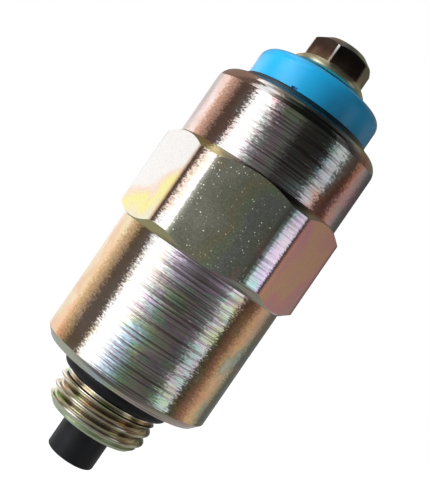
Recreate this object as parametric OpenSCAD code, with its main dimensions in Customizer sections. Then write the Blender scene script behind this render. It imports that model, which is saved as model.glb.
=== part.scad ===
// Fuel shutoff solenoid: a plunger valve that screws into the fuel gallery of an injection pump.
// Millimetres. +Z runs up the axis towards the supply terminal. The origin is the centre of the
// sealing shoulder, so the threaded nose and the plunger lie below zero. One hex flat faces -Y.

/* [Case] */
// Diameter of the turned body above and below the hexagon
body_d = 23.6; // [22.8:0.1:23.8]
// Height of the rolled lip above the sealing shoulder
body_h = 41.4; // [39.8:0.1:44]
// Wall of the coil chamber
wall_t = 1.4; // [1.2:0.1:1.8]
// Thickness of the floor between the sealing shoulder and the coil chamber
floor_t = 4; // [3.4:0.1:5]
// Radius of the rolled top shoulder
shoulder_r = 1.9; // [1.6:0.1:2.4]
// Rise of the rolled lip from the shoulder to its mouth
lip_rise = 0.8; // [0.2:0.1:0.8]
// Thickness of the rolled lip at its mouth
lip_t = 1.6; // [1:0.1:1.6]
// Width of the chamfer round the foot of the body
foot_chamfer_w = 1; // [0.6:0.1:1.3]
// Height of the chamfer round the foot of the body
foot_chamfer_h = 1.1; // [0.6:0.1:2]

/* [Hex collar] */
// Spanner size across the flats
hex_af = 24; // [24:0.1:25]
// Turned diameter of the collar that the flats are milled on
collar_d = 26.2; // [25.8:0.1:26.8]
// Height of the collar's lower end above the sealing shoulder
collar_z = 17.85; // [14:0.05:22]
// Length of the collar
collar_h = 12.7; // [9:0.1:14]
// Height of the chamfer at each end of the collar
collar_chamfer_h = 1.1; // [0.7:0.1:1.6]

/* [Nose thread] */
// Major diameter of the M14 x 1.5 thread as cut
thread_d = 13.9; // [13.8:0.1:14.4]
// Pitch of the thread
thread_pitch = 1.5; // [1:0.25:1.5]
// Length of the nose below the sealing shoulder
nose_l = 7.05; // [6.5:0.05:9]
// Diameter of the undercut that holds the sealing ring
undercut_d = 11.3; // [11:0.1:11.8]
// Length of the undercut
undercut_l = 2.25; // [2.2:0.05:2.8]
// Height of the slope between the undercut and the first crest
undercut_slope_h = 0.35; // [0.2:0.05:0.5]
// Distance from the undercut to the middle of the first groove
first_groove = 1.4; // [1.3:0.05:1.5]
// Size of the chamfer at the end of the nose
nose_chamfer = 1.1; // [0.8:0.1:1.3]
// Depth of the recess in the sealing shoulder for the ring
ring_recess = 0.15; // [0.05:0.05:0.4]

/* [Plunger] */
// Diameter of the rubber valve tip
tip_d = 6.7; // [6:0.1:6.8]
// Reach of the valve tip past the end of the nose at rest
tip_reach = 4.88; // [3:0.02:6]
// Length of the valve tip
tip_l = 8.4; // [7:0.1:9]
// Thickness of the rubber under the stem
tip_floor_t = 2.4; // [2:0.1:3]
// Edge rounding of the valve tip
tip_edge_r = 0.35; // [0.1:0.05:0.6]
// Diameter of the plunger where the nose guides it
guide_d = 6.9; // [6.9:0.1:7.4]
// Diameter of the plunger's stem inside the valve tip
stem_d = 3.4; // [2.8:0.1:3.8]
// Diameter of the barb that holds the tip on the stem
barb_d = 4.4; // [4:0.1:5]
// Height of the barb
barb_h = 0.8; // [0.5:0.1:1.2]
// Height of the barb above the end of the stem
barb_rise = 1; // [0.6:0.1:2]
// Diameter of the armature
armature_d = 9.9; // [9:0.1:10.2]
// Length of the armature above its stop
armature_l = 17.6; // [14:0.1:18.5]
// Travel of the plunger
travel = 2; // [1.2:0.1:2.6]
// Height of the armature's stop above the sealing shoulder
stop_z = 2.2; // [1.8:0.1:2.8]
// Width of the two fuel slots along the armature
slot_w = 1.2; // [0.8:0.1:1.8]
// Depth of the fuel slots
slot_depth = 0.7; // [0.4:0.1:1]

/* [Return spring] */
// Outside diameter of the spring
spring_d = 4.8; // [4.4:0.1:5]
// Diameter of the spring wire
spring_wire_d = 0.5; // [0.4:0.05:0.6]
// Turns of the spring, the closed end turns included
spring_turns = 9; // [7:1:10]
// Depth of the spring pocket in the armature
armature_pocket = 6; // [4:0.5:8]
// Depth of the spring pocket in the pole piece
pole_pocket = 3; // [2:0.5:5]

/* [Coil] */
// Wall of the guide sleeve
sleeve_t = 0.5; // [0.4:0.05:0.7]
// Wall of the bobbin's barrel
barrel_t = 0.75; // [0.6:0.05:1]
// Thickness of the bobbin's lower flange
lower_flange_t = 2.2; // [2:0.1:3]
// Thickness of the bobbin's upper flange
upper_flange_t = 1.2; // [0.8:0.1:1.6]
// Height of the top of the bobbin above the sealing shoulder
bobbin_top_z = 29; // [27.5:0.1:29.2]
// Depth of the winding
winding_t = 3; // [2:0.1:3.2]
// Thickness of the tape round the winding
tape_t = 0.25; // [0.1:0.05:0.35]
// Thickness of the flux plate
flux_plate_t = 3; // [2:0.1:3.2]
// Diameter of the pole piece's flange
pole_flange_d = 12.4; // [12:0.1:12.8]
// Thickness of the pole piece's flange
pole_flange_t = 1; // [0.8:0.1:1.2]
// Thickness of the non-magnetic shim on the pole face
shim_t = 0.15; // [0.1:0.05:0.3]
// Diameter of the bare lead wires
lead_d = 0.8; // [0.6:0.05:1]
// Distance of each lead from the axis
lead_x = 7.5; // [7.3:0.1:7.6]
// Wall of the insulation on the live lead
lead_sleeve_t = 0.3; // [0.2:0.05:0.35]
// Diameter of the solder joint on the flux plate
solder_d = 2.2; // [1.8:0.1:2.4]
// Height of the solder joint
solder_h = 0.8; // [0.7:0.05:0.9]
// Length of the earth lead above the flux plate
earth_rise = 0.5; // [0.3:0.1:0.6]

/* [Cap] */
// Diameter of the cap above the lip
cap_d = 17.8; // [17:0.1:18.2]
// Height of the cap above the rolled lip
cap_h = 4.15; // [3:0.05:6]
// Edge rounding of the cap
cap_edge_r = 1.5; // [0.8:0.1:2]
// Height of the cap's flange inside the case
cap_flange_h = 4.9; // [4.6:0.1:5.2]
// Depth of the recess under the cap
cap_recess_h = 1.7; // [1.6:0.1:2]
// Diameter of the recess under the cap
cap_recess_d = 16.4; // [16.2:0.1:16.8]
// Width of the moulded notch at the cap's lower edge
notch_w = 0.8; // [0.8:0.1:2]
// Depth of the notch in the cap's side
notch_depth = 0.35; // [0.2:0.05:0.6]
// Height of the notch above the rolled lip
notch_h = 0.25; // [0.2:0.05:0.8]
// Angle of the notch round the axis
notch_angle = -107; // [-180:1:180]
// Thickness of the insulating cup's floor
cup_t = 0.8; // [0.6:0.1:1]
// Width of the insulating cup's rim
cup_rim_w = 1; // [0.8:0.1:1.2]
// Thickness of the disc spring
disc_spring_t = 0.45; // [0.3:0.05:0.5]
// Radial width of the disc spring
disc_spring_w = 1.7; // [1.5:0.1:1.8]

/* [Terminal] */
// Diameter of the threaded brass insert
insert_d = 7.2; // [6.8:0.1:8]
// Height of the insert's face above the cap
insert_rise = 0.15; // [0.1:0.05:0.8]
// Depth of the waist that anchors the insert in the cap
anchor_depth = 0.5; // [0.3:0.1:0.8]
// Height of the waist above the insert's lower end
anchor_z = 3.8; // [3:0.1:4.5]
// Length of the waist
anchor_h = 1.4; // [1:0.1:2]
// Depth of the screw hole in the insert
insert_hole_l = 7.5; // [7.2:0.1:8]
// Diameter of the terminal screw's thread
screw_d = 4.9; // [4.8:0.05:5.2]
// Length of the terminal screw under its head
screw_l = 7.6; // [6:0.1:7.8]
// Spanner size of the terminal screw
screw_af = 7.8; // [7.6:0.1:8.4]
// Diameter across the rounded corners of the hexagon on the terminal screw
screw_corner_d = 8.9; // [8.4:0.1:9.2]
// Slope of the chamfer on top of the hexagon, in degrees
screw_chamfer = 35; // [20:1:40]
// Height of the hexagon on the terminal screw
screw_hex_h = 3.65; // [2.4:0.05:4]
// Angle of the hexagon round the axis
screw_angle = -105; // [-180:1:180]
// Diameter of the terminal screw's flange
screw_flange_d = 10.5; // [9.8:0.1:11.5]
// Thickness of the flange at its rim
screw_rim_t = 0.7; // [0.5:0.05:1.2]
// Height of the cone between the rim and the hexagon
screw_cone_h = 0.5; // [0.5:0.05:1.2]
// Corner bevel of the flange's rim
screw_rim_bevel = 0.2; // [0.1:0.05:0.25]
// Diameter of the cone where it meets the hexagon
screw_cone_d = 9; // [8.6:0.1:9.4]
// Diameter of the flat face on top of the hexagon
screw_face_d = 5.5; // [5:0.1:7.6]
// Outside diameter of the lock washer
washer_d = 9.2; // [8.8:0.1:9.6]
// Thickness of the lock washer
washer_t = 0.6; // [0.6:0.05:1.2]
// Width of the split in the lock washer
washer_split_w = 0.8; // [0.4:0.1:1.2]
// Angle of the split round the axis
washer_split_angle = 60; // [0:5:180]
// Thickness of the contact tag
tag_t = 0.5; // [0.3:0.1:0.6]
// Diameter of the contact tag round the rivet
tag_d = 6.8; // [6.4:0.1:7.4]
// Width of the contact tag's arm
tag_arm_w = 2.6; // [2:0.1:3]
// Diameter of the insert's rivet shank
rivet_d = 4; // [3.6:0.1:4.2]
// Diameter of the insert's rivet head
rivet_head_d = 5.2; // [4.8:0.1:5.6]
// Height of the insert's rivet head
rivet_head_h = 0.7; // [0.5:0.1:0.8]

/* [Seals] */
// Section of the sealing ring on the nose
nose_ring_section = 2.1; // [1.8:0.05:2.1]
// Section of the sealing ring round the guide sleeve
sleeve_ring_section = 1.5; // [1.2:0.05:1.6]
// Section of the sealing ring round the cap
cap_ring_section = 1.5; // [1.2:0.05:1.6]

/* [Fits] */
// Radial clearance of pieces that slide
running_gap = 0.05; // [0.03:0.01:0.09]
// Radial clearance of pieces that are pushed together and stay
seat_gap = 0.02; // [0.01:0.01:0.05]
// Clearance round loose inner pieces
loose_gap = 0.2; // [0.1:0.05:0.25]

/* [Hidden] */
$fn = 96;
eps = 0.01;

body_r = body_d / 2;
chamber_r = body_r - wall_t;
shoulder_z = body_h - lip_rise;
lip_z = body_h - lip_t;
lip_r = cap_d / 2 + loose_gap / 2;

thread_r = thread_d / 2;
undercut_r = undercut_d / 2;
// A metric thread is 0.6134 of its pitch deep, with a crest an eighth and a root a quarter wide
thread_depth = 0.6134 * thread_pitch;
crest_w = thread_pitch / 8;
root_w = thread_pitch / 4;
first_groove_z = -undercut_l - first_groove;
ring_pocket_r = undercut_r + nose_ring_section + running_gap;

guide_r = guide_d / 2;
nose_bore_r = guide_r + running_gap;
tip_end_z = -nose_l - tip_reach;
tip_top_z = tip_end_z + tip_l;
stem_end_z = tip_end_z + tip_floor_t;
barb_z = stem_end_z + barb_rise;

armature_r = armature_d / 2;
sleeve_in_r = armature_r + running_gap;
sleeve_r = sleeve_in_r + sleeve_t;
armature_top_z = stop_z + armature_l;
shim_z = armature_top_z + travel;
pole_face_z = shim_z + shim_t;
pole_r = sleeve_in_r - seat_gap;

spring_r = (spring_d - spring_wire_d) / 2;
spring_pocket_r = spring_d / 2 + loose_gap;
spring_low_z = armature_top_z - armature_pocket;
spring_high_z = pole_face_z + pole_pocket;

barrel_in_r = sleeve_r + running_gap;
barrel_r = barrel_in_r + barrel_t;
bobbin_r = chamber_r - loose_gap;
winding_low_z = floor_t + lower_flange_t;
winding_high_z = bobbin_top_z - upper_flange_t;
winding_r = barrel_r + winding_t;
tape_r = winding_r + tape_t;

flux_top_z = bobbin_top_z + flux_plate_t;
pole_top_z = flux_top_z + pole_flange_t;
cup_top_z = pole_top_z + cup_t;
cap_foot_z = lip_z - cap_flange_h;
tag_top_z = cap_foot_z + cap_recess_h;
tag_z = tag_top_z - tag_t;

lead_r = lead_d / 2;
lead_hole_r = lead_r + lead_sleeve_t + loose_gap / 2;

cap_top_z = body_h + cap_h;
insert_top_z = cap_top_z + insert_rise;
insert_r = insert_d / 2;
washer_top_z = insert_top_z + washer_t;
rim_top_z = washer_top_z + screw_rim_t;
hex_z = rim_top_z + screw_cone_h;
hex_top_z = hex_z + screw_hex_h;

// A ring of any section, given as points of radius and height
module ring(points) {
    rotate_extrude() polygon(points);
}

// A plain tube between two heights
module tube(r_out, r_in, z_low, z_high) {
    translate([0, 0, z_low]) difference() {
        cylinder(r = r_out, h = z_high - z_low);
        translate([0, 0, -eps]) cylinder(r = r_in, h = z_high - z_low + 2 * eps);
    }
}

// A rod between two heights
module rod(r, z_low, z_high) {
    translate([0, 0, z_low]) cylinder(r = r, h = z_high - z_low);
}

// A round rubber ring lying flat
module o_ring(centre_r, section, z) {
    translate([0, 0, z]) rotate_extrude() translate([centre_r, 0]) circle(d = section, $fn = 48);
}

// The turned outline of the case, solid to the axis
module case_outline() {
    collar_r = collar_d / 2;
    collar_top_z = collar_z + collar_h;
    polygon([
        [0, -nose_l],
        [thread_r - nose_chamfer, -nose_l],
        [thread_r, -nose_l + nose_chamfer],
        [thread_r, -undercut_l - undercut_slope_h],
        [undercut_r, -undercut_l],
        [undercut_r, ring_recess],
        [ring_pocket_r, ring_recess],
        [ring_pocket_r, 0],
        [body_r - foot_chamfer_w, 0],
        [body_r, foot_chamfer_h],
        [body_r, collar_z],
        [collar_r, collar_z + collar_chamfer_h],
        [collar_r, collar_top_z - collar_chamfer_h],
        [body_r, collar_top_z],
        [body_r, shoulder_z - shoulder_r],
        [body_r - shoulder_r, shoulder_z - shoulder_r],
        [body_r - shoulder_r, shoulder_z],
        [lip_r, body_h],
        [0, body_h],
    ]);
    translate([body_r - shoulder_r, shoulder_z - shoulder_r]) circle(r = shoulder_r);
}

// The grooves between the thread's crests
module thread_grooves() {
    for (z = [first_groove_z : -thread_pitch : -nose_l])
        translate([thread_r, z]) polygon([
            [eps, (thread_pitch - crest_w) / 2],
            [-thread_depth, root_w / 2],
            [-thread_depth, -root_w / 2],
            [eps, -(thread_pitch - crest_w) / 2],
        ]);
}

// The nose bore, the seat of the guide sleeve, the coil chamber and the mouth of the lip
module case_hollow() {
    translate([0, -nose_l - eps]) square([nose_bore_r, body_h + nose_l + 2 * eps]);
    translate([0, stop_z]) square([sleeve_r + seat_gap, body_h - stop_z]);
    translate([0, floor_t]) square([chamber_r, lip_z - floor_t]);
    translate([0, floor_t]) square([lip_r, body_h - floor_t + eps]);
}

// One flat of the hexagon: a block that starts at half the spanner size
module flat_cutter() {
    translate([hex_af / 2, -collar_d / 2, collar_z - eps]) cube([collar_d, collar_d, collar_h + 2 * eps]);
}

module case() {
    color("#b9a58a") difference() {
        rotate_extrude() difference() {
            case_outline();
            thread_grooves();
            case_hollow();
        }
        for (k = [0 : 5]) rotate(60 * k - 90) flat_cutter();
    }
}

module nose_ring() {
    color("#16181a") o_ring(undercut_r + nose_ring_section / 2, nose_ring_section,
        ring_recess - nose_ring_section / 2);
}

module armature() {
    color("#33363a") difference() {
        union() {
            rod(armature_r, stop_z, armature_top_z);
            rod(guide_r, tip_top_z, stop_z + eps);
            rod(stem_d / 2, stem_end_z, tip_top_z + eps);
            rod(barb_d / 2, barb_z, barb_z + barb_h);
        }
        rod(spring_pocket_r, spring_low_z, armature_top_z + eps);
        for (side = [0, 180]) rotate(side)
            translate([armature_r - slot_depth, -slot_w / 2, stop_z - eps])
                cube([slot_depth + 1, slot_w, armature_l + 2 * eps]);
    }
}

module valve_tip() {
    tip_r = tip_d / 2;
    color("#1d2022") difference() {
        rotate_extrude() {
            translate([0, tip_end_z + tip_edge_r]) square([tip_r, tip_l - tip_edge_r]);
            translate([0, tip_end_z]) square([tip_r - tip_edge_r, tip_l]);
            translate([tip_r - tip_edge_r, tip_end_z + tip_edge_r]) circle(r = tip_edge_r);
        }
        rod(stem_d / 2, stem_end_z, tip_top_z + eps);
        rod(barb_d / 2, barb_z, barb_z + barb_h);
    }
}

// Height of the spring's centre line after a number of turns: the first and last turns lie close
function spring_height(turn, low, high, wire) =
    let (open = spring_turns - 2)
    turn < 1 ? low + turn * wire
    : turn > spring_turns - 1 ? high - (spring_turns - turn) * wire
    : low + wire + (turn - 1) / open * (high - low - 2 * wire);

module return_spring() {
    sides = 8;
    steps = 20;
    wire_r = spring_wire_d / 2;
    low = spring_low_z + wire_r;
    high = spring_high_z - wire_r;
    count = spring_turns * steps;
    points = [for (i = [0 : count]) for (j = [0 : sides - 1])
        let (turn = i / steps, around = 360 * j / sides, r = spring_r + wire_r * cos(around))
        [r * cos(360 * turn), r * sin(360 * turn),
            spring_height(turn, low, high, spring_wire_d * 1.05) + wire_r * sin(around)]];
    walls = [for (i = [0 : count - 1]) for (j = [0 : sides - 1])
        let (a = i * sides + j, b = i * sides + (j + 1) % sides)
        [a, b, b + sides, a + sides]];
    start = [for (j = [sides - 1 : -1 : 0]) j];
    end = [for (j = [0 : sides - 1]) count * sides + j];
    color("#9da0a3") polyhedron(points, concat([start], walls, [end]));
}

module pole_shim() {
    color("#c79a45") tube(pole_r - loose_gap, spring_pocket_r, shim_z, pole_face_z);
}

// The pole piece's flange clears the lead sleeve on one side and the solder joint on the other
module pole_piece() {
    color("#8f9296") difference() {
        union() {
            rod(pole_r, pole_face_z, pole_top_z);
            difference() {
                rod(pole_flange_d / 2, flux_top_z, pole_top_z);
                translate([lead_x, 0, 0]) rod(lead_hole_r, flux_top_z - eps, pole_top_z + eps);
                translate([-lead_x, 0, 0])
                    rod((solder_d + loose_gap) / 2, flux_top_z - eps, pole_top_z + eps);
            }
        }
        rod(spring_pocket_r, pole_face_z - eps, spring_high_z);
    }
}

module guide_sleeve() {
    color("#c9a24e") tube(sleeve_r, sleeve_in_r, stop_z, flux_top_z);
}

module sleeve_ring() {
    color("#1a1c1e") o_ring(sleeve_r + sleeve_ring_section / 2, sleeve_ring_section,
        floor_t + sleeve_ring_section / 2);
}

module coil_bobbin() {
    ring_pocket = sleeve_ring_section + running_gap;
    color("#2b2b2e") difference() {
        union() {
            tube(barrel_r, barrel_in_r, floor_t, bobbin_top_z);
            tube(bobbin_r, barrel_in_r, floor_t, winding_low_z);
            tube(bobbin_r, barrel_in_r, winding_high_z, bobbin_top_z);
        }
        rod(sleeve_r + ring_pocket, floor_t - eps, floor_t + ring_pocket);
        for (side = [-1, 1]) translate([side * lead_x, 0, 0])
            rod(lead_hole_r, winding_high_z - eps, bobbin_top_z + eps);
    }
}

module coil_winding() {
    color("#a4552b") tube(winding_r, barrel_r, winding_low_z, winding_high_z);
}

module winding_tape() {
    color("#d8c27a") tube(tape_r, winding_r, winding_low_z, winding_high_z);
}

module flux_plate() {
    color("#9a9c9f") difference() {
        tube(chamber_r - seat_gap, sleeve_r + seat_gap, bobbin_top_z, flux_top_z);
        translate([lead_x, 0, 0]) rod(lead_hole_r, bobbin_top_z - eps, flux_top_z + eps);
        translate([-lead_x, 0, 0]) rod(lead_r + seat_gap, bobbin_top_z - eps, flux_top_z + eps);
    }
}

module insulating_cup() {
    color("#7a3b22") difference() {
        rod(bobbin_r, flux_top_z, cup_top_z);
        rod(bobbin_r - cup_rim_w, flux_top_z - eps, pole_top_z);
        translate([lead_x, 0, 0]) rod(lead_hole_r, flux_top_z - eps, cup_top_z + eps);
    }
}

module disc_spring() {
    out_r = chamber_r - loose_gap;
    in_r = out_r - disc_spring_w;
    color("#6f7276") ring([
        [out_r, cup_top_z],
        [out_r, cup_top_z + disc_spring_t],
        [in_r, cap_foot_z],
        [in_r, cap_foot_z - disc_spring_t],
    ]);
}

// The cap's section: a flange under the lip, with a groove for its ring, and a round-edged top
module cap_section() {
    flange_r = chamber_r - seat_gap;
    top_r = cap_d / 2;
    groove_r = chamber_r - cap_ring_section;
    groove_h = cap_ring_section + loose_gap;
    difference() {
        union() {
            translate([0, cap_foot_z]) square([flange_r, cap_flange_h]);
            translate([0, cap_foot_z]) square([top_r, cap_top_z - cap_edge_r - cap_foot_z]);
            translate([0, cap_foot_z]) square([top_r - cap_edge_r, cap_top_z - cap_foot_z]);
            translate([top_r - cap_edge_r, cap_top_z - cap_edge_r]) circle(r = cap_edge_r);
        }
        translate([0, cap_foot_z - eps]) square([cap_recess_d / 2, cap_recess_h + eps]);
        translate([groove_r, (tag_top_z + lip_z - groove_h) / 2]) square([cap_ring_section, groove_h]);
    }
}

module terminal_cap() {
    color("#1393d1") difference() {
        rotate_extrude() cap_section();
        insert_body(tag_top_z - eps, insert_top_z);
        rotate(notch_angle) translate([cap_d / 2 - notch_depth, -notch_w / 2, lip_z + eps])
            cube([2 * notch_depth, notch_w, lip_t + notch_h]);
    }
}

module cap_ring() {
    color("#1a1c1e") o_ring(chamber_r - cap_ring_section / 2, cap_ring_section, (tag_top_z + lip_z) / 2);
}

// The insert's outer form, with the waist that the cap's plastic grips
module insert_body(foot_z, head_z) {
    waist_z = tag_top_z + anchor_z;
    waist_top_z = waist_z + anchor_h;
    ring([
        [0, foot_z],
        [insert_r, foot_z],
        [insert_r, waist_z - anchor_depth],
        [insert_r - anchor_depth, waist_z],
        [insert_r - anchor_depth, waist_top_z],
        [insert_r, waist_top_z + anchor_depth],
        [insert_r, head_z],
        [0, head_z],
    ]);
}

module terminal_insert() {
    color("#c8a04a") difference() {
        union() {
            insert_body(tag_top_z, insert_top_z);
            rod(rivet_d / 2, tag_z - rivet_head_h, tag_top_z + eps);
            rod(rivet_head_d / 2, tag_z - rivet_head_h, tag_z);
        }
        rod(screw_d / 2 + running_gap, insert_top_z - insert_hole_l, insert_top_z + eps);
    }
}

module contact_tag() {
    arm_r = tag_arm_w / 2;
    color("#cda552") difference() {
        union() {
            rod(tag_d / 2, tag_z, tag_top_z);
            translate([0, -arm_r, tag_z]) cube([lead_x, 2 * arm_r, tag_t]);
            translate([lead_x, 0, 0]) difference() {
                rod(arm_r, tag_z, tag_top_z);
                translate([cap_recess_d / 2 - lead_x - loose_gap, -arm_r, tag_z - eps])
                    cube([arm_r, 2 * arm_r, tag_t + 2 * eps]);
            }
        }
        rod(rivet_d / 2 + seat_gap, tag_z - eps, tag_top_z + eps);
        translate([lead_x, 0, 0]) rod(lead_r + seat_gap, tag_z - eps, tag_top_z + eps);
    }
}

module live_lead() {
    color("#b5652f") translate([lead_x, 0, 0]) rod(lead_r, winding_high_z, tag_top_z - eps);
}

module lead_sleeve() {
    color("#8c1f1b") translate([lead_x, 0, 0])
        tube(lead_r + lead_sleeve_t, lead_r + seat_gap, winding_high_z, tag_z);
}

module earth_lead() {
    color("#b5652f") translate([-lead_x, 0, 0]) rod(lead_r, winding_high_z, flux_top_z + earth_rise);
}

module solder_joint() {
    color("#c4c7c9") translate([-lead_x, 0, flux_top_z]) difference() {
        intersection() {
            translate([0, 0, solder_h - solder_d / 2]) sphere(d = solder_d);
            cylinder(d = solder_d, h = solder_h);
        }
        translate([0, 0, -eps]) cylinder(r = lead_r, h = earth_rise + eps);
    }
}

module lock_washer() {
    color("#a89b7a") difference() {
        tube(washer_d / 2, screw_d / 2 + running_gap, insert_top_z, washer_top_z);
        rotate(washer_split_angle) translate([0, -washer_split_w / 2, insert_top_z - eps])
            cube([washer_d, washer_split_w, washer_t + 2 * eps]);
    }
}

// A hexagon with rounded corners and its top corners turned off
module chamfered_hex() {
    corner_r = screw_af / 2 / cos(30);
    round_r = screw_corner_d / 2;
    face_r = screw_face_d / 2;
    intersection() {
        rotate(screw_angle) translate([0, 0, hex_z - eps])
            cylinder(r = corner_r, h = screw_hex_h + eps, $fn = 6);
        ring([
            [0, hex_z - eps],
            [round_r, hex_z - eps],
            [round_r, hex_top_z - (round_r - face_r) * tan(screw_chamfer)],
            [face_r, hex_top_z],
            [0, hex_top_z],
        ]);
    }
}

module terminal_screw() {
    flange_r = screw_flange_d / 2;
    color("#8c7a4e") union() {
        rod(screw_d / 2, washer_top_z - screw_l, washer_top_z + eps);
        ring([
            [0, washer_top_z],
            [flange_r - screw_rim_bevel, washer_top_z],
            [flange_r, washer_top_z + screw_rim_bevel],
            [flange_r, rim_top_z - screw_rim_bevel],
            [flange_r - screw_rim_bevel, rim_top_z],
            [screw_cone_d / 2, hex_z],
            [0, hex_z],
        ]);
        chamfered_hex();
    }
}

case();
nose_ring();
armature();
valve_tip();
return_spring();
pole_shim();
pole_piece();
guide_sleeve();
sleeve_ring();
coil_bobbin();
coil_winding();
winding_tape();
flux_plate();
insulating_cup();
disc_spring();
terminal_cap();
cap_ring();
terminal_insert();
contact_tag();
live_lead();
lead_sleeve();
earth_lead();
solder_joint();
lock_washer();
terminal_screw();
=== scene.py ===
import math

import bmesh
import bpy
from mathutils import Matrix, Vector


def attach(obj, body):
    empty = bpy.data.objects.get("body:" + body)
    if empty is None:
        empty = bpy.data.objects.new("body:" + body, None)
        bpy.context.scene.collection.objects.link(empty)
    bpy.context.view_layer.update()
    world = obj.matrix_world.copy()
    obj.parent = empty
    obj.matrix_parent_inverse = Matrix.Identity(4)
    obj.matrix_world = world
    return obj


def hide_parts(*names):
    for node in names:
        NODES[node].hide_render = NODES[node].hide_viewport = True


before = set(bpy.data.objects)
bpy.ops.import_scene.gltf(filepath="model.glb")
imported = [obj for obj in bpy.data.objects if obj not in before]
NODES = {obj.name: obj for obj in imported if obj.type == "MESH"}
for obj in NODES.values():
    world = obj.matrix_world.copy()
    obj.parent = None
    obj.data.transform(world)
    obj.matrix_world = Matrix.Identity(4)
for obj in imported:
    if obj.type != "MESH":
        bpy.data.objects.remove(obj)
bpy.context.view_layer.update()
SCENE = bpy.context.scene
MM = 0.001
MICRON = 0.000001

# Sizes of the case in millimetres, the same as the solid model's
BODY_R = 11.8
COLLAR_R = 13.1
FLAT_R = 12.0
COLLAR_LOW, COLLAR_HIGH = 17.85, 30.55
COLLAR_CHAMFER = 1.1
SHOULDER_R, SHOULDER_Z = 1.9, 38.7
THREAD_R = 6.95
THREAD_DEPTH = 0.92
PITCH = 1.5
CREST_FRONT_Z = -3.95
UNDERCUT_R, UNDERCUT_Z = 5.65, -1.8
NOSE_END = -7.05
NOSE_CHAMFER = 1.1
NOSE_BORE_R, NOSE_BORE_CHAMFER = 3.5, 0.15
RING_SEAT_R, RING_SEAT_Z = 7.8, 0.15
CHAMBER_R, CHAMBER_FLOOR_Z = 10.4, 4.0
SLEEVE_SEAT_R, SLEEVE_SEAT_Z = 5.52, 2.2
LIP_R, LIP_UNDER_Z = 9.0, 39.8

# Runs of the case's profile, as radius and height in millimetres
SEAT_EDGES = [(RING_SEAT_R, 0.06), (7.86, 0.0), (10.74, 0.0)]
FOOT_CHAMFER = [(10.85, 0.06), (11.74, 1.04)]
LOWER_BODY = [(BODY_R, 1.16), (BODY_R, 6), (BODY_R, 12), (BODY_R, 17.6)]
UPPER_BODY = [(BODY_R, 30.8), (BODY_R, 34.5)]
LIP_EDGE = [(9.1, 41.31), (9.05, 41.36), (9.02, 41.375), (LIP_R, 41.34)]

# Small forms that the solid model leaves out: a rim and groove above the thread, and rounded edges
RIM_R, RIM_HIGH, RIM_LOW = 6.45, -2.13, -2.34
GROOVE_R, GROOVE_Z = 6.2, -2.46
FIRST_CREST_Z = -2.8
EDGE_ROUNDING = 0.24

# The thread's section: half a crest's flat and one flank as shares of the pitch, and the flank's curve
CREST_HALF = 0.03
FLANK = 0.44
FLANK_CURVE = 1.75

# Steps of the case's mesh, and the angle from which an edge is shaded as sharp
FLAT_STEPS = 36
CORNER_STEPS = 12
THREAD_ROWS = 168
COLLAR_ROWS = 8
SHOULDER_ROWS = 12
SHARP_EDGE = math.radians(28)

# Places in metres where a finish changes over, from one value to the other
FRONT_STREAKS_X = (-0.012, 0.012)
FILM_TOP_Z = 0.04
FLAT_SIDE_X = (0.0058, 0.0072)
FLAT_Z = (0.018, 0.0305)
THREAD_SHADE_X = (-0.0045, 0.0052)
THREAD_ROOT_R = (0.00606, 0.00638)
NOSE_CHAMFER_Z = (-0.0062, -0.0059)
FLANGE_TOP_Z, FLANGE_BLEND = 0.0475, 0.00005
HEX_TOP_Z = 0.0512
# Radius and sideways span of the painted highlight on the screw's corners
HEX_CORNER_R = (0.00439, 0.00444)
HEX_GLINT_X = (0.0, 0.003)


# Materials. Noise scales are features a metre along X, Y and Z, and a list of hues runs from 0 to 1.

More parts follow.
